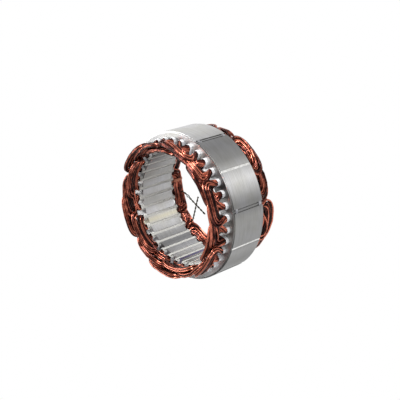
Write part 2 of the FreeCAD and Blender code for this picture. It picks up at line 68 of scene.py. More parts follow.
# %% [markdown]
# ## Camera
# The eye is about 0.7 metres from the core, in front of it and above it, and the camera is
# rolled until the core's upright axis seems to lie across.  A Track To constraint would be
# the usual way to aim a camera, but it always keeps the camera level.  A rolled camera is
# given by three directions instead: where it looks, what is up for it, and their cross
# product.  They are the columns of its matrix.  The lens is a short telephoto, as for a
# small product, so the near rim of the core isn't much larger than the far one.

# %% Camera
EYE = Vector((0.53265, 0.10948, 0.47769))
LOOK = Vector((-0.7547, -0.1557, -0.6374)).normalized()
UP = Vector((0.0121, 0.9680, -0.2508))
right = LOOK.cross(UP).normalized()
UP = right.cross(LOOK).normalized()     # now exactly square to the other two

lens = bpy.data.cameras.new("Lens")
lens.lens = 73.09
lens.sensor_width = 36.0
lens.clip_start, lens.clip_end = 0.01, 20.0
camera = bpy.data.objects.new("Camera", lens)
scene.collection.objects.link(camera)
camera.matrix_world = Matrix((
    (right.x, UP.x, -LOOK.x, EYE.x),
    (right.y, UP.y, -LOOK.y, EYE.y),
    (right.z, UP.z, -LOOK.z, EYE.z),
    (0, 0, 0, 1),
))
scene.camera = camera
print("camera at", tuple(round(v, 3) for v in EYE))

# %% [markdown]
# ## Sizes read from the solids
# Everything that is built here has to fit the steel, so its outside radius, the heights of
# its two faces and the height of the film that stands out of its slots are measured from
# the solids.  They could be typed in, but then they would be wrong as soon as someone
# changed the part.

# %% Sizes read from the solids
stack_low, stack_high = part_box("lamination_stack")
OUTER_R = stack_high.x
STACK_FOOT, STACK_HEAD = stack_low.z, stack_high.z
CUFF = STACK_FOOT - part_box("slot_liner_00")[0].z
SLOTS = 36
PITCH = math.radians(360 / SLOTS)       # slot 0 lies on +X
print("outside radius %.4f, stack %.4f to %.4f, cuff %.4f"
      % (OUTER_R, STACK_FOOT, STACK_HEAD, CUFF))

# %% [markdown]
# ## Materials
# Each finish below is a small tree of shader nodes.  Such a tree could be drawn by hand in
# the Shader Editor, but written as code it can be read, changed and made again.  Four
# helpers keep it short: one makes the shader, one adds a node, one joins two nodes, and one
# makes a colour ramp, which turns a number between 0 and 1 into a colour.

# %% Helpers for node trees
def new_material(name, **inputs):
    """A material with one Principled shader, its constants set on its own sockets."""
    material = bpy.data.materials.new(name)
    material.use_nodes = True
    shader = material.node_tree.nodes["Principled BSDF"]
    for socket, value in inputs.items():
        shader.inputs[socket.replace("_", " ")].default_value = value
    return material, shader


def add_node(material, kind, **settings):
    """A node of a kind, with its settings and the values of its inputs."""
    node = material.node_tree.nodes.new(kind)
    for name, value in settings.items():
        if hasattr(node, name):
            setattr(node, name, value)
        else:
            node.inputs[name.replace("_", " ")].default_value = value
    return node


def link(material, source, target):
    """Joins the output of a node to the input of another."""
    material.node_tree.links.new(source, target)


print("helpers:", new_material.__name__ + ",", add_node.__name__, "and", link.__name__)

# %% Colour ramps
def with_alpha(colour):
    """A grey or a colour as the four numbers that a ramp takes."""
    return (colour, colour, colour, 1) if isinstance(colour, float) else (*colour, 1)


def ramp(material, factor, stops):
    """A colour ramp with stops as (position, colour or grey), in rising order."""
    node = add_node(material, "ShaderNodeValToRGB")
    link(material, factor, node.inputs["Fac"])
    elements = node.color_ramp.elements
    for element, (position, colour) in zip((elements[0], elements[1]), (stops[0], stops[-1])):
        element.position = position
        element.color = with_alpha(colour)
    for position, colour in stops[1:-1]:
        elements.new(position).color = with_alpha(colour)
    return node


print("a middle grey on a ramp:", with_alpha(0.5))

# %% [markdown]
# ### Tones of the steel
# The stack is hundreds of thin sheets, punched, piled up, welded and turned.  Turned metal
# is never one even grey: each strip between two grooves, and each tooth in the bore, sends
# the light of the room back in its own way.  One could build the whole room for it to
# reflect.  Here the room is plain white, and the reflections are written down as a tone for
# each angle round the axis, once for the outside, and once for the bore and the end faces.
# One tooth is stained to a cream colour, and a violet line was drawn along another.

# %% Tones round the stack, as (degrees from slot 0, tone)
CREAM = (0.84, 0.80, 0.63)
VIOLET = (0.10, 0.07, 0.30)
OUTSIDE_TONES = (
    (-180, 0.36), (-110, 0.30), (-80, 0.33), (-56, 0.24), (-50, 0.25), (-40, 0.37),
    (-34, 0.33), (-12, 0.36), (-6, 0.27), (-1, 0.26), (4, 0.37), (10, 0.60), (16, 0.80),
    (21, 0.68), (26, 0.50), (33, 0.30), (46, 0.22), (54, 0.24), (57, 0.50), (66, 0.60),
    (80, 0.68), (95, 0.58), (110, 0.56), (140, 0.50), (180, 0.36),
)
BORE_TONES = (
    (-180, 0.55), (-175, 0.68), (-170, 0.70), (-165, CREAM), (-160, 0.76), (-155, 0.70),
    (-145, 0.42), (-135, 0.26), (-125, 0.45), (-115, 0.60), (-107.2, 0.40),
    (-106.8, VIOLET), (-105.6, VIOLET), (-105.2, 0.38), (-60, 0.95), (-30, 0.42),
    (-15, 0.30), (0, 0.33), (15, 0.09), (30, 0.42), (45, 0.95), (60, 0.74), (75, 0.34),
    (90, 0.36), (105, 0.30), (135, 0.40), (145, 0.40), (155, 0.44), (165, 0.52),
    (175, 0.48), (180, 0.55),
)
print("tones outside:", len(OUTSIDE_TONES), "in the bore:", len(BORE_TONES))

# %% [markdown]
# ### An angle as a texture
# Painting these tones would need an image and an unwrapped mesh.  The Texture Coordinate
# node gives each point's own X, Y and Z instead: the arc tangent of Y and X is its angle
# round the axis, and the length of (X, Y) is its distance from the axis.  Both stay
# the same wherever the camera stands.

# %% Angle and distance of a surface point
def round_the_axis(material, place, tones):
    """A ramp of tones, driven by the angle round Z."""
    split = add_node(material, "ShaderNodeSeparateXYZ")
    link(material, place.outputs["Object"], split.inputs[0])
    angle = add_node(material, "ShaderNodeMath", operation="ARCTAN2")
    link(material, split.outputs["Y"], angle.inputs[0])
    link(material, split.outputs["X"], angle.inputs[1])
    share = add_node(material, "ShaderNodeMapRange", From_Min=-math.pi, From_Max=math.pi)
    link(material, angle.outputs[0], share.inputs[0])
    stops = [((degrees + 180) / 360, tone) for degrees, tone in tones]
    return ramp(material, share.outputs[0], stops)


def distance_from_axis(material, place):
    """The distance of a surface point from Z."""
    flat = add_node(material, "ShaderNodeVectorMath", operation="MULTIPLY")
    flat.inputs[1].default_value = (1, 1, 0)
    link(material, place.outputs["Object"], flat.inputs[0])
    length = add_node(material, "ShaderNodeVectorMath", operation="LENGTH")
    link(material, flat.outputs[0], length.inputs[0])
    return length


print("a slot and a tooth take %.0f degrees" % math.degrees(PITCH))

# %% Two colours into one
def mixed(material, blend, factor, first, second):
    """Two colours mixed; the factor is a number or a node's output."""
    node = add_node(material, "ShaderNodeMix", data_type="RGBA", blend_type=blend)
    if isinstance(factor, float):
        node.inputs[0].default_value = factor
    else:
        link(material, factor, node.inputs[0])
    link(material, first, node.inputs[6])
    link(material, second, node.inputs[7])
    return node.outputs[2]


print("helper:", mixed.__name__)

# %% [markdown]
# ### Laminations
# The edges of the sheets show as fine lines that run round the stack.  Modelling them would
# take a million faces, so they are noise.  With a fresh cell for each sheet along Z and only
# 60 cells to the metre along X and Y, it changes from sheet to sheet and hardly at all along
# a sheet.

# %% Lines of the sheets
SHEET = 0.5 * MM
ALONG = 60              # cells of noise to the metre, along a sheet


def sheet_lines(material, place):
    """Noise that changes from sheet to sheet and hardly at all along a sheet."""
    stretch = add_node(material, "ShaderNodeMapping")
    stretch.inputs["Scale"].default_value = (ALONG, ALONG, 1 / SHEET)
    link(material, place.outputs["Object"], stretch.inputs[0])
    noise = add_node(material, "ShaderNodeTexNoise", Scale=1.0, Detail=2.0, Roughness=0.6)
    link(material, stretch.outputs[0], noise.inputs["Vector"])
    return noise


print("sheets in the stack: about", round((STACK_HEAD - STACK_FOOT) / SHEET))

# %% [markdown]
# The tones by angle are multiplied with the lines of the sheets, and then with a broader
# noise that gives the faint stains of oil and handling.  Whether a point takes the outside's
# tones or the bore's is decided by its distance from the axis, which is simpler than giving
# the faces of one solid two materials.

# %% Colour of the steel
SKIN = 1.3 * MM         # deeper than any groove outside: so far in, the outside's tones hold

stack_steel, steel_shader = new_material("stack_steel", Metallic=1.0)
place = add_node(stack_steel, "ShaderNodeTexCoord")
outside = round_the_axis(stack_steel, place, OUTSIDE_TONES)
inside = round_the_axis(stack_steel, place, BORE_TONES)
reach = distance_from_axis(stack_steel, place)
on_outside = add_node(stack_steel, "ShaderNodeMath", operation="GREATER_THAN")
on_outside.inputs[1].default_value = OUTER_R - SKIN
link(stack_steel, reach.outputs["Value"], on_outside.inputs[0])
tone = mixed(stack_steel, "MIX", on_outside.outputs[0], inside.outputs[0], outside.outputs[0])
sheets = sheet_lines(stack_steel, place)
lines = ramp(stack_steel, sheets.outputs[0], [(0.3, 0.80), (0.7, 1.08)])
tone = mixed(stack_steel, "MULTIPLY", 1.0, tone, lines.outputs[0])
stains = add_node(stack_steel, "ShaderNodeTexNoise", Scale=45.0, Detail=4.0)
link(stack_steel, place.outputs["Object"], stains.inputs["Vector"])
tint = ramp(stack_steel, stains.outputs[0], [
    (0.35, (0.93, 0.92, 0.88)), (0.65, (1.05, 1.05, 1.08)),
])
tone = mixed(stack_steel, "MULTIPLY", 1.0, tone, tint.outputs[0])
link(stack_steel, tone, steel_shader.inputs["Base Color"])
print("made", stack_steel.name)

# %% [markdown]
# The same noise that darkens the metal also roughens it and moves its normals, so the three
# agree, as they do on real metal.  Bump changes only the normals.  Real displacement would
# need far more faces for lines that are a twentieth of a millimetre deep.

# %% Roughness and relief of the steel
rough = add_node(stack_steel, "ShaderNodeMapRange", To_Min=0.34, To_Max=0.55)
link(stack_steel, sheets.outputs[0], rough.inputs[0])
link(stack_steel, rough.outputs[0], steel_shader.inputs["Roughness"])
bump = add_node(stack_steel, "ShaderNodeBump", Strength=0.25, Distance=0.05 * MM)
link(stack_steel, sheets.outputs[0], bump.inputs["Height"])
link(stack_steel, bump.outputs[0], steel_shader.inputs["Normal"])
print("nodes in", stack_steel.name + ":", len(stack_steel.node_tree.nodes))

# %% [markdown]
# ### Weld metal
# Six seams run down the outside of the stack, and six grooves between them only have a
# short weld near each end.  Weld metal was molten once, so it is smoother than the sheets,
# with ripples.  The beads of the seams are given a light tone and the tack welds a dark one.
# The ripples could be sculpted, but they are only a tenth of a millimetre deep, and noise in
# the colour and the normals is enough for that.

# %% Weld metal
def weld_metal(name, dark, light):
    """Bare metal with ripples between two tones."""
    material, shader = new_material(name, Metallic=1.0, Roughness=0.38)
    place = add_node(material, "ShaderNodeTexCoord")
    ripples = add_node(material, "ShaderNodeTexNoise", Scale=500.0, Detail=3.0)
    link(material, place.outputs["Object"], ripples.inputs["Vector"])
    tone = ramp(material, ripples.outputs[0], [(0.35, dark), (0.65, light)])
    link(material, tone.outputs[0], shader.inputs["Base Color"])
    bump = add_node(material, "ShaderNodeBump", Strength=0.4, Distance=0.1 * MM)
    link(material, ripples.outputs[0], bump.inputs["Height"])
    link(material, bump.outputs[0], shader.inputs["Normal"])
    return material


bead_metal = weld_metal("bead_metal", (0.66, 0.66, 0.64), (0.92, 0.91, 0.89))
tack_metal = weld_metal("tack_metal", (0.22, 0.22, 0.24), (0.50, 0.50, 0.52))
print("made", bead_metal.name, "and", tack_metal.name)

# %% [markdown]
# ### White film
# Each slot is lined with a folded strip of polyester film and closed with a wedge of the
# same film.  It is white, matt and a little fibrous.  Film lets some light through, and
# subsurface scattering would show that, but here it is thin and lies on metal, so a plain
# pale surface with faint fibres looks the same and renders faster.

# %% White film
FIBRE_SHADE = 0.86      # a fibre's tone, as a share of the film's


def film(name, colour, rough):
    """Film of a colour, with fibres in its tone and its relief."""
    material, shader = new_material(name, Roughness=rough)
    place = add_node(material, "ShaderNodeTexCoord")
    fibres = add_node(material, "ShaderNodeTexNoise", Scale=900.0, Detail=4.0)
    link(material, place.outputs["Object"], fibres.inputs["Vector"])
    shade = tuple(c * FIBRE_SHADE for c in colour)
    tone = ramp(material, fibres.outputs[0], [(0.3, shade), (0.7, colour)])
    link(material, tone.outputs[0], shader.inputs["Base Color"])
    bump = add_node(material, "ShaderNodeBump", Strength=0.15, Distance=0.05 * MM)
    link(material, fibres.outputs[0], bump.inputs["Height"])
    link(material, bump.outputs[0], shader.inputs["Normal"])
    return material


liner_film = film("liner_film", (0.78, 0.78, 0.80), 0.5)
# the wedges are the same film as the liners, painted darker for the shade in the bore
shaded_wedge_film = film("shaded_wedge_film", (0.58, 0.58, 0.55), 0.5)
print("made", liner_film.name, "and", shaded_wedge_film.name)

# %% [markdown]
# ### Enamelled copper
# Magnet wire is copper under a clear red-brown enamel.  It looks almost black where it
# reflects dark things, and pale peach where it meets a lamp.  The shader is a coloured metal
# under a thin clear coat, but much of that black and peach is painted into its colour.  Wires
# side by side also differ in the light, because each is turned a little differently, and that
# is painted too: each wire takes its own tone between painted shade and painted highlight.  A
# material for each wire would be slow to make and to change.  Blender gives every separate
# island of a mesh its own random number, and that number, with some noise for painted patches
# of sheen and shade along the wire, picks a tone from a ramp.

# %% Enamelled copper
ISLAND_WEIGHT = 0.85    # of a wire's own number, beside the patches' 1
TO_UNIT = 0.54          # brings the sum of the two back to between 0 and 1


def enamel(name, tones, rough):
    """Wire painted a tone of its own between shade and highlight,
    from the number that Blender gives to its island.
    """
    material, shader = new_material(
        name, Metallic=0.8, Roughness=rough, Coat_Weight=0.15, Coat_Roughness=0.1)
    place = add_node(material, "ShaderNodeTexCoord")
    # noise along the wire paints patches of sheen and shade
    sheen_patches = add_node(material, "ShaderNodeTexNoise", Scale=220.0, Detail=3.0)
    link(material, place.outputs["Object"], sheen_patches.inputs["Vector"])
    mesh_facts = add_node(material, "ShaderNodeNewGeometry")
    blend = add_node(material, "ShaderNodeMath", operation="MULTIPLY_ADD")
    blend.inputs[1].default_value = ISLAND_WEIGHT
    link(material, mesh_facts.outputs["Random Per Island"], blend.inputs[0])
    link(material, sheen_patches.outputs[0], blend.inputs[2])
    scaled = add_node(material, "ShaderNodeMath", operation="MULTIPLY")
    scaled.inputs[1].default_value = TO_UNIT
    link(material, blend.outputs[0], scaled.inputs[0])
    # the ramp paints shade at its low end and highlight at its top
    tone = ramp(material, scaled.outputs[0], tones)
    link(material, tone.outputs[0], shader.inputs["Base Color"])
    return material


print("a wire's own number is %.0f %% of what picks its tone" % (100 * ISLAND_WEIGHT * TO_UNIT))

# %% [markdown]
# The winding's enamel is the darkest of the three coppers and has the widest range of
# painted shade and highlight.  The ties are paler, and the leads carry a dark olive enamel.
# Each is the same recipe with other tones, so that a change to the recipe reaches all three.

# %% Three enamels
# in each ramp the low stops are painted shade and the top stop is painted highlight
wire_enamel = enamel("wire_enamel", [
    (0.36, (0.014, 0.002, 0.001)), (0.5, (0.095, 0.013, 0.007)), (0.68, (0.56, 0.165, 0.10)),
], 0.2)
tie_enamel = enamel("tie_enamel", [
    (0.25, (0.25, 0.07, 0.04)), (0.5, (0.5, 0.2, 0.12)), (0.75, (0.72, 0.38, 0.26)),
], 0.25)
lead_enamel = enamel("lead_enamel", [
    (0.3, (0.015, 0.014, 0.010)), (0.5, (0.07, 0.065, 0.04)), (0.75, (0.24, 0.23, 0.16)),
], 0.35)
print("made", wire_enamel.name + ",", tie_enamel.name, "and", lead_enamel.name)

# %% [markdown]
# ## Finishes on the solids
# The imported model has 54 nodes, and its names say what each one is.  They could be picked
# by hand in the Outliner, but a table of how their names start does it in one loop, and
# still works when a slot is added.

# %% Finishes on the solids
FINISHES = (
    ("lamination_stack", stack_steel),
    ("weld_beads", bead_metal),
    ("tack_welds", tack_metal),
    ("slot_liner", liner_film),
    ("slot_wedges", shaded_wedge_film),
    ("winding", wire_enamel),
    ("binding_tie", tie_enamel),
    ("phase_lead", lead_enamel),
)
for node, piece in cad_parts.items():
    for start, finish in FINISHES:
        if node.startswith(start):
            piece.data.materials.clear()
            piece.data.materials.append(finish)
print("finishes given to", len(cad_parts), "nodes")

# %% [markdown]
# ## Winding
# Each phase is a wave winding: a bundle of 21 wires leaves a slot, runs over three slots
# as an end turn, goes down the next slot of its phase, does the same at the rear, and so
# on all round.  Phase a lies next to the bore, b outside it, and c outermost.  A curve
# object with a round bevel would be the quick way to make one wire, but 756 of them would
# be slow to handle, so each phase is one mesh that is filled with tubes.

# %% Winding sizes
PHASES = ("a", "b", "c")
FIRST_SLOT = {"a": 1, "b": 3, "c": 5}       # where a front end turn starts
SLOTS_PER_TURN = 3
ROWS, COLUMNS = 3, 7                        # of wires in a slot: abreast, and one behind another
WIRES = ROWS * COLUMNS
WIRE_R = 0.70 * MM
LAYER_R = {"a": 51.4 * MM, "b": 54.4 * MM, "c": 57.8 * MM}
REAR_SPREAD = 1.8 * MM                      # the rear end turns lie this much further out
print("wires in all:", len(PHASES) * WIRES * SLOTS // SLOTS_PER_TURN)

# %% [markdown]
# ### A tube
# A tube is a ring of corners carried along a line of points.  Each ring has to be square to
# the line.  If each were turned on its own, the tube would twist where the line bends, so
# each ring takes over the direction of the ring before it and only loses what isn't square.
# Eight sides are enough for a wire that is shaded smooth.

# %% A tube along points
def tube(corners, faces, points, radius, sides=8):
    """Adds a round tube through the points; its ends are closed with a flat face."""
    side = (points[1] - points[0]).orthogonal().normalized()
    first = len(corners)
    for index, point in enumerate(points):
        ahead = points[min(index + 1, len(points) - 1)]
        behind = points[max(index - 1, 0)]
        heading = (ahead - behind).normalized()
        side = (side - heading * side.dot(heading)).normalized()
        over = heading.cross(side)
        for corner in range(sides):
            angle = 2 * math.pi * corner / sides
            corners.append(point + (side * math.cos(angle) + over * math.sin(angle)) * radius)
    for ring in range(len(points) - 1):
        near = first + ring * sides
        far = near + sides
        for corner in range(sides):
            beside = (corner + 1) % sides
            faces.append((near + corner, near + beside, far + beside, far + corner))
    last = first + (len(points) - 1) * sides
    faces.append(tuple(range(first + sides - 1, first - 1, -1)))
    faces.append(tuple(range(last, last + sides)))


trial_corners, trial_faces = [], []
tube(trial_corners, trial_faces, [Vector((0, 0, 0)), Vector((0, 0, MM))], WIRE_R)
print("a straight tube:", len(trial_corners), "corners,", len(trial_faces), "faces")

# %% [markdown]
# The core is round, so its places are easier to give as a distance from the axis, an angle
# and a height than as X, Y and Z.  With the same helper, the length of a wire can be
# measured along its points.

# %% Points round the axis
def around(radius, angle, height):
    """A point from its distance from Z, its angle round Z and its height."""
    return Vector((radius * math.cos(angle), radius * math.sin(angle), height))


def length_of(points):
    """The length of a line through points, in millimetres."""
    return sum((end - start).length for start, end in zip(points, points[1:])) / MM


ring = [around(OUTER_R, degrees * math.pi / 180, 0) for degrees in range(361)]
print("the core is %.0f mm round" % length_of(ring))

# %% [markdown]
# ### From tubes to a piece
# The lists of corners and faces become one mesh object.  It belongs to the core's only
# body, and it takes the place of the plain solid that stood in for it.

# %% A piece from corners and faces
def as_piece(name, corners, faces, finish, slot_name, *nodes):
    """The corners and faces as a smooth object that rides on the core and replaces nodes."""
    data = bpy.data.meshes.new(name)
    data.from_pydata(corners, [], faces)
    data.shade_smooth()
    data.materials.append(finish)
    piece = bpy.data.objects.new(name, data)
    scene.collection.objects.link(piece)
    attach(piece, "root")
    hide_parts(*nodes)
    print(name, "faces:", len(faces))

# %% [markdown]
# ### How the end turns lean
# A machine presses the finished end turns into shape, and never evenly.  The front ones lean
# outwards over most of the ring and inwards near slot 2, the outer layer most of all.  The
# rear ones sag towards the bore near 215 degrees.  A lattice or a sculpt brush could push
# the finished mesh about, but it would flatten the wires as well.  Moving the middle line
# of each wire before its tube is made keeps the wires round.

# %% Lean of the end turns
FRONT_OUT = 1.8 * MM        # outwards, away from slot 2
FRONT_SWING = 4.2 * MM      # less than that, at slot 2
FRONT_SHARPNESS = 3
REAR_OUT = 0.3 * MM
REAR_SWING = 2.3 * MM
REAR_SHARPNESS = 8
SAG_AT = math.radians(215)
PUSHED = {"a": 0.25, "b": 0.6, "c": 1.0}    # share of the front lean that a layer takes


def nearness(angle, centre, sharpness):
    """1 at the centre, 0 opposite it, and a narrower hill the higher the sharpness."""
    return (0.5 + 0.5 * math.cos(angle - centre)) ** sharpness


def front_lean(phase, angle):
    """How far a front end turn leans outwards at an angle."""
    return PUSHED[phase] * (FRONT_OUT - FRONT_SWING * nearness(angle, 2 * PITCH, FRONT_SHARPNESS))


def rear_lean(angle):
    """The same for a rear end turn."""
    return REAR_OUT - REAR_SWING * nearness(angle, SAG_AT, REAR_SHARPNESS)


for degrees in (20, 110, 215):
    front = front_lean("c", math.radians(degrees)) / MM
    rear = rear_lean(math.radians(degrees)) / MM
    print("phase c at %d degrees: %.2f mm in front, %.2f mm at the rear" % (degrees, front, rear))

# %% [markdown]
# ### Room between the layers
# The three layers overlap only in part.  Where the layer outside it has a gap, a bundle
# springs out into that gap, which is what makes a real winding look woven.

# %% Bulge into the gaps of the layer outside
# where along an end turn there is room, from 0 at its first slot to 1, and how far it bulges
ROOM = {"a": (0.15, 0.85, 0.4 * MM), "b": (0.0, 0.72, 1.9 * MM), "c": (0.0, 1.0, 0.0)}


def bulge(phase, gone):
    """How far a bundle stands out, a share of the way along its end turn."""
    opens, closes, height = ROOM[phase]
    share = min(1.0, max(0.0, (gone - opens) / (closes - opens)))
    return height * math.sin(math.pi * share)


print("phase b bulges %.1f mm at a third of its way" % (bulge("b", 1 / 3) / MM))

# %% [markdown]
# ### The ties' places
# Copper ties hold the rear end turns together, and pinch the wires under them a little.  The
# pinch is worked out before the wires are made, as the lean is.

# %% Pinch at the ties
TIE_PLACES = (1.9, 5.6, 10.5, 16.4, 21.4, 26.5, 30.5, 35.2)     # in slot pitches
PINCH = 0.2                 # share of the bundle's width that a tie takes away
PINCH_REACH = 0.55          # in slot pitches


def pinch(angle):
    """1 away from the ties, less where a tie draws the wires together."""
    turns = angle / PITCH
    nearest = min(abs((turns - place + SLOTS / 2) % SLOTS - SLOTS / 2) for place in TIE_PLACES)
    return 1 - PINCH * math.exp(-(nearest / PINCH_REACH) ** 2)


print("the bundle keeps %.2f of its width under a tie" % pinch(TIE_PLACES[2] * PITCH))

# %% [markdown]
# ### One end turn
# The wires of an end turn are nested arcs.  In the slot they lie three abreast and seven
# deep.  Outside it they fan out, so that the wire from the bottom of the slot takes the
# widest and highest arc and the one next to the bore the lowest.  Each arc is half of a
# superellipse, which is an ellipse with fuller shoulders: it climbs straight out of the
# slot, runs level and drops straight in again.  A Bezier curve could be pulled into that
# shape too, but here one number, the power, says how square it is, and it can differ from
# wire to wire.

# %% Shape of an end turn
STEPS = 22
ROW_STEP = 1.0 * MM         # between rows, in the layers
LEG_R = 55.7 * MM           # middle column of the wires in a slot
LEG_REACH = 3.1 * MM        # from there to the first and the last column
LEG_STEP = 1.75 * MM        # between rows, in a slot
HEAD_HEIGHT = {"a": 10.5 * MM, "b": 10.9 * MM, "c": 11.3 * MM}  # middle wire over the stack
HEAD_REACH = 4.75 * MM      # from there to the lowest and the highest wire
HEAD_CEILING = 16.8 * MM    # nothing of a wire stands higher over the stack
FOOT = CUFF + 0.3 * MM      # where a wire leaves its slot's film
LEG_ENDS, LAYER_STARTS = 1.6 * MM, 7.5 * MM     # over the foot: from the slot to the layer
OVERSWING = {"a": 7.5 * MM, "b": 7.0 * MM, "c": 4.8 * MM}   # of the widest arc, past its slot
OVERSWING_ENDS = 6.5 * MM   # over the foot
FAN = (0.15, 0.35, 0.5)     # share of the overswing: of all arcs, by place, by its square
BELLY = 0.9 * MM            # how far the wires from the slots' bottoms bulge over the cuffs
BELLY_ENDS = 6.0 * MM       # over the foot


def eased(value, start, end):
    """0 before start, 1 after end, and a smooth step between them."""
    share = min(1.0, max(0.0, (value - start) / (end - start)))
    return share * share * (3 - 2 * share)


print("highest wire reaches %.2f mm" % ((HEAD_HEIGHT["c"] + HEAD_REACH + WIRE_R) / MM))

# %% [markdown]
# ### Wires laid by hand
# No wire runs quite as its neighbours do: each one wanders a little, and about one in eight
# crosses the others on the outside.  The chances come from a generator with a fixed seed,
# so that the winding is the same each time the script runs.

# %% Chances of one wire
CROSSING_SHARE = 0.12
CROSSING_SHIFT = 0.8        # how far a crossing wire moves over, as a share of the half bundle
CROSSING_LIFT = 0.7 * MM
PLACE_WANDER = 0.07         # a share of the half bundle
HEIGHT_WANDER = 0.15 * MM
RADIUS_WANDER = 0.16 * MM
POWER, POWER_ACROSS, POWER_JITTER = 3.2, 1.3, 0.3   # of the superellipse


def chances(rng):
    """What is random about a wire: drifts, start of its wave, crossing, squareness."""
    drifts = [rng.uniform(-1, 1) for _ in range(4)]     # of which three are used
    wave_start = rng.uniform(0, 2 * math.pi)
    crosses = rng.random() < CROSSING_SHARE
    way = rng.choice((-1, 1))
    jitter = rng.uniform(-POWER_JITTER, POWER_JITTER)
    return drifts[:3], wave_start, way if crosses else 0, jitter


print("chances of a trial wire:", chances(random.Random(0)))

# %% [markdown]
# ### The middle line of a wire
# The line goes from one slot's mouth to the other in 22 steps.  At each step the arc says how
# far along and how high the wire is.  Its distance from the axis blends from the slot's into
# its layer's.  Sideways, it swings out past its slot before it turns, the widest arcs most.

# %% One wire of an end turn
def wire_points(phase, slot, face, outwards, wire, rng):
    """The middle line of a wire, from slot to slot; outwards is 1 in front, -1 at the rear."""
    (place_drift, height_drift, radius_drift), wave_start, crossing, jitter = chances(rng)
    row = wire % ROWS - 1
    across = 2 * (wire // ROWS) / (COLUMNS - 1) - 1     # -1 for the lowest arc, 1 for the highest
    leg_r = LEG_R + across * LEG_REACH
    leg_side = row * LEG_STEP
    layer_r = LAYER_R[phase] + (REAR_SPREAD if outwards < 0 else 0)
    square = 2 / (POWER + POWER_ACROSS * across + jitter)
    points = [around(leg_r, slot * PITCH + leg_side / leg_r, face)]
    for step in range(STEPS + 1):
        swing = math.pi * step / STEPS
        along = math.copysign(abs(math.cos(swing)) ** square, math.cos(swing))
        climb = abs(math.sin(swing)) ** square
        wave = math.sin(swing * 2 + wave_start) * climb
        place = across + PLACE_WANDER * place_drift * wave
        place += crossing * along * CROSSING_SHIFT * climb
        place = max(-1.0, min(1.0, place))
        gone = (1 - along) / 2
        angle = (slot + SLOTS_PER_TURN * gone) * PITCH
        tight = pinch(angle) if outwards < 0 else 1.0

        top = HEAD_HEIGHT[phase] + place * tight * HEAD_REACH
        height = FOOT + (top - FOOT) * climb + HEIGHT_WANDER * height_drift * wave
        free = eased(height, FOOT + LEG_ENDS, FOOT + LAYER_STARTS)
        lean = front_lean(phase, angle) if outwards > 0 else rear_lean(angle)
        head_r = layer_r + row * ROW_STEP * tight + lean + bulge(phase, gone)
        head_r += abs(crossing) * CROSSING_LIFT * climb + RADIUS_WANDER * radius_drift * wave
        belly = math.sin(math.pi * eased(height, FOOT, FOOT + BELLY_ENDS))
        radius = leg_r * (1 - free) + head_r * free + BELLY * max(0.0, across) * belly

        fan = FAN[0] + FAN[1] * place + FAN[2] * max(0.0, place) ** 2
        swerve = -along * fan * OVERSWING[phase] * eased(height, FOOT, FOOT + OVERSWING_ENDS)
        sideways = swerve + leg_side * (1 - free) * (1 if step * 2 < STEPS else -1)
        height = min(height, HEAD_CEILING - WIRE_R)
        points.append(around(radius, angle + sideways / radius, face + outwards * height))
    points.append(around(leg_r, (slot + SLOTS_PER_TURN) * PITCH - leg_side / leg_r, face))
    return points


for wire in (0, WIRES - 1):
    trial = wire_points("c", FIRST_SLOT["c"], STACK_HEAD, 1, wire, random.Random(0))
    print("wire %d of an end turn is %.0f mm long" % (wire, length_of(trial)))

# %% [markdown]
# ### All end turns
# A phase has six end turns in front and six at the rear, which start three slots further
# on.  The straight runs through the slots are hidden by the steel, so the wires
# end at its two faces.

# %% The three phases
for phase in PHASES:
    rng = random.Random("winding " + phase)
    corners, faces = [], []
    start = FIRST_SLOT[phase]
    for slot in range(start, start + SLOTS, 2 * SLOTS_PER_TURN):
        for wire in range(WIRES):
            front = wire_points(phase, slot, STACK_HEAD, 1, wire, rng)
            tube(corners, faces, front, WIRE_R)
            rear = wire_points(phase, slot + SLOTS_PER_TURN, STACK_FOOT, -1, wire, rng)
            tube(corners, faces, rear, WIRE_R)
    as_piece("wires_" + phase, corners, faces,
             wire_enamel, "enamelled_copper", "winding_phase_" + phase)

# %% [markdown]
# ## Ties
# A tie is soft copper wire, wrapped three and a half times round a bundle and twisted off.
# A torus with a squared section would do from afar, but close up one sees the turns lie
# side by side.  So the tie is a tube, too: it follows a rounded rectangle in a plane through
# the axis, and creeps sideways as it goes.

# %% Wrapped turns of a tie
TIE_WIRE_R = 0.36 * MM
TIE_TURNS = 3.5
TIE_STEPS = 32              # to the turn
TIE_HEIGHT = 14.6 * MM
TIE_MARGIN = 2.15 * MM      # from the middle of a layer to the outside of a tie
TIE_SQUARE = 0.6            # power that makes the ellipse a rounded rectangle
TIE_CREEP = 2.3 * MM        # sideways, over all its turns
TIE_SINK = 0.12 * MM        # how unevenly the turns lie
TIE_WAVE = 0.37             # waves of that to a turn of the wire


def squared(value):
    """The value raised to the tie's power, with its sign kept."""
    return math.copysign(abs(value) ** TIE_SQUARE, value)


def tie_points(place, inner_r, outer_r):
    """The wrapped turns of a tie."""
    middle_r, half_r = (inner_r + outer_r) / 2, (outer_r - inner_r) / 2 - TIE_WIRE_R
    middle_z, half_z = TIE_HEIGHT / 2, TIE_HEIGHT / 2 - TIE_WIRE_R
    points = []
    for step in range(int(TIE_TURNS * TIE_STEPS) + 1):
        swing = 2 * math.pi * step / TIE_STEPS
        sink = TIE_SINK * math.sin(swing * TIE_WAVE + place)
        radius = middle_r + (half_r - abs(sink)) * squared(math.cos(swing))
        height = middle_z + half_z * squared(math.sin(swing))
        creep = (step / (TIE_TURNS * TIE_STEPS) - 0.5) * TIE_CREEP + sink
        points.append(around(radius, place * PITCH + creep / radius, height))
    return points


trial = tie_points(TIE_PLACES[0], LAYER_R["c"] - TIE_MARGIN, LAYER_R["c"] + TIE_MARGIN)
print("the wrapped turns of a small tie take %.0f mm of wire" % length_of(trial))

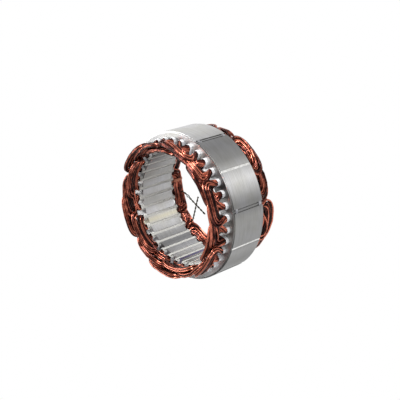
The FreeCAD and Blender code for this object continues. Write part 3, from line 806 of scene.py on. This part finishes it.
# %% [markdown]
# ### Twisted ends
# The two ends of a tie's wire are twisted round each other and stand off the outside of the
# bundle, by turns to the left and to the right.

# %% Twisted end of a tie
END_WIRE_R = 0.3 * MM
END_LENGTH = 3.6 * MM
END_APART = 0.34 * MM       # from the middle of the pair to the middle of a wire
END_STEPS = 12
END_TURN = 0.9              # radians to the step
END_HEIGHT = 9 * MM
END_SINK = 0.2 * MM         # root of the end, below the outside of the tie
END_SLANT, END_RISE = 0.9, 0.25


def end_points(number, place, outer_r, first_turn):
    """The middle line of one of the two twisted wires."""
    root = around(outer_r - END_SINK, place * PITCH, END_HEIGHT)
    slant = END_SLANT if number % 2 else -END_SLANT
    away = around(1.0, place * PITCH + slant, END_RISE).normalized()
    square = away.orthogonal().normalized()
    beside = away.cross(square)
    points = []
    for step in range(END_STEPS + 1):
        swing = first_turn + step * END_TURN
        middle = root + away * (step / END_STEPS * END_LENGTH)
        points.append(middle + (square * math.cos(swing) + beside * math.sin(swing)) * END_APART)
    return points


print("a twisted end is %.1f mm long and has %.1f turns"
      % (END_LENGTH / MM, END_STEPS * END_TURN / (2 * math.pi)))

# %% [markdown]
# ### The eight ties
# How far out a tie reaches depends on the phases that pass under it, and this is worked out
# from the slots where their rear end turns start.

# %% The ties
def radii_under(place):
    """The radii of the rear layers that pass a place, given in slot pitches."""
    return [
        LAYER_R[phase] + REAR_SPREAD for phase in PHASES
        if (place - FIRST_SLOT[phase] - SLOTS_PER_TURN) % (2 * SLOTS_PER_TURN) < SLOTS_PER_TURN
    ]


for number, place in enumerate(TIE_PLACES, start=1):
    under = radii_under(place)
    outer_r = max(under) + TIE_MARGIN
    corners, faces = [], []
    tube(corners, faces, tie_points(place, min(under) - TIE_MARGIN, outer_r), TIE_WIRE_R)
    for first_turn in (0, math.pi):
        tube(corners, faces, end_points(number, place, outer_r, first_turn), END_WIRE_R)
    as_piece("tie_%d" % number, corners, faces,
             tie_enamel, "tie_copper", "binding_tie_%d" % number)

# %% [markdown]
# ## Phase leads
# The three ends of the winding are pairs of dark enamelled wires, twisted together, that
# cross the bore behind the stack.  They are short and stiff enough to hold their shape, so
# they need no simulation: a straight run to a knee just inside the bore, and another to the
# tip.

# %% Phase lead sizes
LEADS = {       # degrees of root, knee and tip, radius of the tip, height
    "a": (177.0, 179.4, 217.8, 32.1 * MM, 4.0 * MM),
    "b": (315.0, 312.0, 292.0, 36.0 * MM, 4.0 * MM),
    "c": (212.0, 209.7, 185.7, 27.9 * MM, 5.8 * MM),
}
ROOT_INSET = 1.6 * MM       # root of a lead, inside the middle of its layer
KNEE_R = 47.0 * MM
KNEE_REACH = 2 * MM         # the bend begins and ends this far from the knee
LEAD_WIRE_R = 0.40 * MM
LEAD_LAY = 8.0 * MM         # one full turn of the two wires round each other
LEAD_STEPS = 56
APART = 1.02                # from the pair's middle to a wire's middle, in wire radii
LOOSE = {"a": 1.3, "b": 0.0, "c": 0.5}      # how much more than that in the eye
EYE_AT, EYE_REACH = 9.5 * MM, 2.2 * MM      # along the lead
print("the pairs turn round each other once in %.1f mm" % (LEAD_LAY / MM))

# %% [markdown]
# Each of the two wires winds round the middle line of its pair like the thread of a screw.
# Near the root two of the pairs have come loose, so there the wires stand further off that
# line and leave a small eye.  A Screw modifier could twist a straight pair, but it couldn't
# open the eye or bend at the knee.

# %% Phase leads
UPRIGHT = Vector((0, 0, 1))


def lead_points(phase, root, knee, tip, first_turn):
    """The middle line of one of the two wires of a lead."""
    to_knee = (knee - root).length
    whole = to_knee + (tip - knee).length
    points = []
    for step in range(LEAD_STEPS + 1):
        gone = whole * step / LEAD_STEPS
        if gone < to_knee:
            middle = root.lerp(knee, gone / to_knee)
        else:
            middle = knee.lerp(tip, (gone - to_knee) / (whole - to_knee))
        turned = eased(gone, to_knee - KNEE_REACH, to_knee + KNEE_REACH)
        heading = (knee - root).normalized().lerp((tip - knee).normalized(), turned)
        square = heading.normalized().cross(UPRIGHT).normalized()
        swing = first_turn + 2 * math.pi * gone / LEAD_LAY
        apart = APART + LOOSE[phase] * math.exp(-((gone - EYE_AT) / EYE_REACH) ** 2)
        offset = square * math.cos(swing) + UPRIGHT * math.sin(swing)
        points.append(middle + offset * LEAD_WIRE_R * apart)
    return points


for phase, (root_at, knee_at, tip_at, tip_r, height) in LEADS.items():
    root_r = LAYER_R[phase] + REAR_SPREAD - ROOT_INSET
    root = around(root_r, math.radians(root_at), height)
    knee = around(KNEE_R, math.radians(knee_at), height)
    tip = around(tip_r, math.radians(tip_at), height)
    print("lead", phase, "is %.0f mm long" % length_of([root, knee, tip]))
    corners, faces = [], []
    for first_turn in (0, math.pi):
        tube(corners, faces, lead_points(phase, root, knee, tip, first_turn), LEAD_WIRE_R)
    as_piece("lead_" + phase, corners, faces,
             lead_enamel, "lead_wire", "phase_lead_" + phase)

# %% [markdown]
# ## Floor and backdrop
# The core stands on white paper that has no horizon.  One plane is enough: it is so large
# that the camera doesn't see its edge when it looks down on the core.

# %% Floor
FLOOR_HALF = 4.0
FLOOR_HEIGHT = -0.2 * MM    # a little under the core, so that the two don't flicker

data = bpy.data.meshes.new("floor")
data.from_pydata([
    (x * FLOOR_HALF, y * FLOOR_HALF, FLOOR_HEIGHT) for x, y in ((-1, -1), (1, -1), (1, 1), (-1, 1))
], [], [(0, 1, 2, 3)])
floor = bpy.data.objects.new("floor", data)
scene.collection.objects.link(floor)
print("floor of %.0f metres" % (2 * FLOOR_HALF))

# %% [markdown]
# The paper could be lit until it turns white, but so much light would bleach the steel.
# Instead, its material asks what kind of ray meets it.  The camera, and anything shiny that
# reflects the paper, sees an even white without shadows.  For all other rays it is plain
# paper, which lights the core softly from below.

# %% White for some rays, paper for the others
paper, paper_shader = new_material("paper", Roughness=0.9, Base_Color=(0.95, 0.95, 0.95, 1))
floor.data.materials.append(paper)
rays = add_node(paper, "ShaderNodeLightPath")
seen = add_node(paper, "ShaderNodeMath", operation="MAXIMUM")
link(paper, rays.outputs["Is Camera Ray"], seen.inputs[0])
link(paper, rays.outputs["Is Glossy Ray"], seen.inputs[1])
shown = add_node(paper, "ShaderNodeMath", operation="MAXIMUM")
link(paper, seen.outputs[0], shown.inputs[0])
link(paper, rays.outputs["Is Transmission Ray"], shown.inputs[1])
white = add_node(paper, "ShaderNodeEmission", Strength=1.0)
mix = add_node(paper, "ShaderNodeMixShader")
link(paper, shown.outputs[0], mix.inputs[0])
link(paper, paper_shader.outputs[0], mix.inputs[1])
link(paper, white.outputs[0], mix.inputs[2])
link(paper, mix.outputs[0], paper.node_tree.nodes["Material Output"].inputs["Surface"])
print("made", paper.name)

# %% [markdown]
# ## Lights
# A small metal product is lit with large soft lamps, because metal shows the lamp itself as
# a highlight.  Seen through the camera, the key stands above the core and to its left, the
# fill opens the shadows from below, and a weak rim lamp at the left draws the edge of the
# front face.  Sun or point lamps would leave hard, small glints on each wire.

# %% Softboxes
def softbox(name, place, aim, width, power):
    """A square lamp at a place, turned towards a point, with its power in watts."""
    data = bpy.data.lights.new(name, "AREA")
    data.shape = "RECTANGLE"
    data.size = data.size_y = width
    data.energy = power
    lamp = bpy.data.objects.new(name, data)
    scene.collection.objects.link(lamp)
    lamp.location = place
    lamp.rotation_euler = (Vector(aim) - Vector(place)).to_track_quat("-Z", "Y").to_euler()
    print(name, "of", power, "watts")


softbox("key", (0.2, 0.7, 0.7), (0, 0, 0.03), 0.35, 13)
softbox("rim", (-0.36, 0.12, 0.40), (0, 0.03, 0.05), 0.22, 1.3)
softbox("fill", (0.6, -0.5, 0.6), (0, 0, 0.03), 0.7, 3)

# %% [markdown]
# The world adds an even light from all round.  An image of a studio would give the steel
# more to reflect, but the tones by angle already do that here.  The Standard view transform
# shows each colour as it was computed, so the white of the paper stays white.

# %% World and colours
WORLD_LIGHT = 0.35

world = bpy.data.worlds.new("Studio")
scene.world = world
world.use_nodes = True
background = world.node_tree.nodes["Background"]
background.inputs["Color"].default_value = (1, 1, 1, 1)
background.inputs["Strength"].default_value = WORLD_LIGHT
scene.view_settings.view_transform = "Standard"
print("world light:", WORLD_LIGHT)
